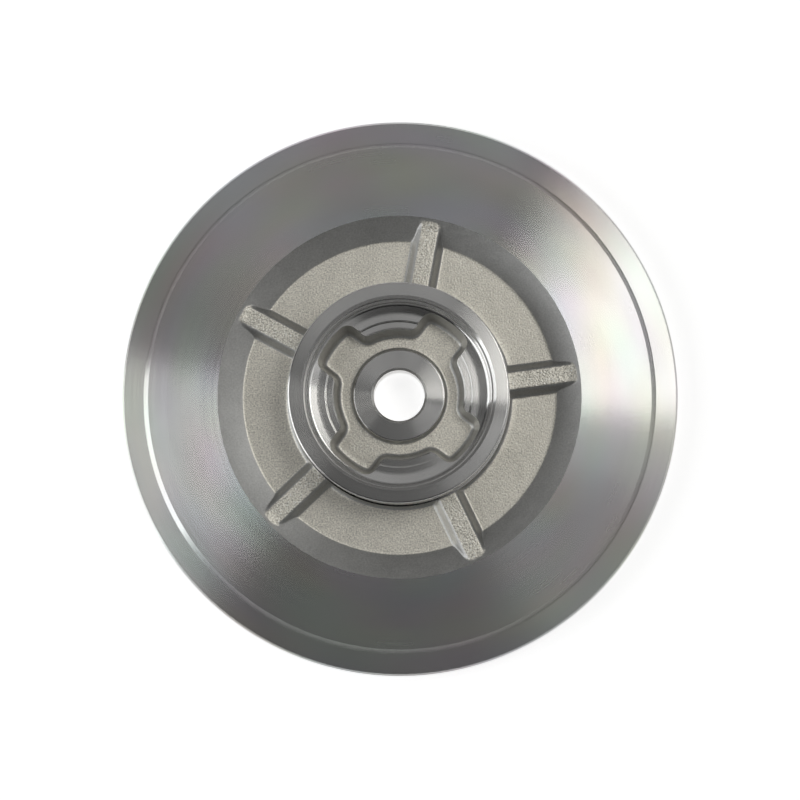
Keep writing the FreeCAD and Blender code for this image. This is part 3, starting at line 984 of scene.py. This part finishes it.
# The dark room's pale walls and its window, as degrees anticlockwise from +X and brightness
FRONT_WALL = ((-60, 0.0), (-50, 0.25), (-15, 0.25))
WINDOW = ((-8, 1.0), (2, 1.0), (15, 0.0))
REAR_WALL = ((60, 0.0), (70, 0.4), (130, 0.3), (150, 0.0))
ROOM = FRONT_WALL + WINDOW + REAR_WALL
LOW_GLOW = 0.17                      # even light from all sides near the horizon
GLOW_TOP = 0.40                      # sine of the elevation up to which only that glow is seen
ROOM_FROM = 0.84                     # and of the one at which the room's light is whole


def add_room_light(settings):
    """Soft light from all round, uneven as in a room; the camera sees white."""
    world = bpy.data.worlds.new("room")
    bpy.context.scene.world = world
    world.use_nodes = True
    room = Nodes(world.node_tree)
    background = room.tree.nodes["Background"]
    direction = room.parts(room.add("ShaderNodeTexCoord").outputs["Generated"])
    bearing = room.sum("ARCTAN2", direction["Y"], direction["X"])
    by_bearing = room.add("ShaderNodeValToRGB")
    stops = by_bearing.color_ramp.elements
    while len(stops) < len(ROOM):
        stops.new(0.5)
    for stop, (degrees, level) in zip(stops, ROOM):
        stop.position = (degrees + 180.0) / 360.0
        stop.color = (level, level, level, 1.0)
    room.join(room.spread(bearing, -math.pi, math.pi), by_bearing.inputs[0])
    high = room.spread(direction["Z"], GLOW_TOP, ROOM_FROM)
    light = room.blend(high, (LOW_GLOW, LOW_GLOW, LOW_GLOW, 1.0), by_bearing.outputs["Color"])
    seen = room.add("ShaderNodeLightPath").outputs["Is Camera Ray"]
    room.join(room.blend(seen, light, WHITE), background.inputs["Color"])
    background.inputs["Strength"].default_value = settings.dome_strength


# ---------------------------------------------------------------- the add-on

class BACKPLATE_OT_add_casting(bpy.types.Operator):
    """Add the back plate's casting with its turned faces, ribs and cross pocket"""
    bl_idname = "back_plate.add_casting"
    bl_label = "Back Plate Casting"
    bl_options = {"REGISTER", "UNDO"}

    def execute(self, context):
        scene = context.scene
        finish = scene.back_plate_finish
        metals = {"turned": turned_metal(finish), "cast": cast_metal(finish),
                  "bored": bored_metal(finish)}
        slots = {skin: number for number, skin in enumerate(metals)}
        casting = new_object("back_plate_casting",
                             spin_casting(scene.back_plate_sizes, slots), metals.values())
        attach(casting, "root")
        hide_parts("back_plate")
        return {"FINISHED"}


class BACKPLATE_OT_set_stage(bpy.types.Operator):
    """Set the floor, the lamps and the camera"""
    bl_idname = "back_plate.set_stage"
    bl_label = "Stage"
    bl_options = {"REGISTER", "UNDO"}

    def execute(self, context):
        settings = context.scene.back_plate_studio
        add_floor(settings)
        add_camera(settings)
        add_room_light(settings)
        for softbox in SOFTBOXES:
            add_softbox(*softbox)
        context.scene.view_settings.view_transform = "Standard"
        return {"FINISHED"}


class BACKPLATE_PT_panel(bpy.types.Panel):
    """Sizes, finishes and the steps that build the back plate"""
    bl_label = "Back Plate"
    bl_idname = "BACKPLATE_PT_panel"
    bl_space_type = "VIEW_3D"
    bl_region_type = "UI"
    bl_category = "Back Plate"

    def draw(self, context):
        layout = self.layout
        for operator in OPERATORS:
            layout.operator(operator.bl_idname)
        for group in (context.scene.back_plate_sizes, context.scene.back_plate_finish,
                      context.scene.back_plate_studio):
            box = layout.box()
            for name in group.__annotations__:
                box.prop(group, name)


OPERATORS = (BACKPLATE_OT_add_casting, BACKPLATE_OT_set_stage)
SETTINGS = {
    "back_plate_sizes": BackPlateSizes,
    "back_plate_finish": BackPlateFinish,
    "back_plate_studio": StudioSettings,
}


def register():
    for cls in (*SETTINGS.values(), *OPERATORS, BACKPLATE_PT_panel):
        bpy.utils.register_class(cls)
    for name, cls in SETTINGS.items():
        setattr(bpy.types.Scene, name, PointerProperty(type=cls))


def unregister():
    for name in SETTINGS:
        delattr(bpy.types.Scene, name)
    for cls in reversed((*SETTINGS.values(), *OPERATORS, BACKPLATE_PT_panel)):
        bpy.utils.unregister_class(cls)


def main():
    register()
    bpy.ops.back_plate.add_casting()
    bpy.ops.back_plate.set_stage()


if __name__ == "__main__":
    main()
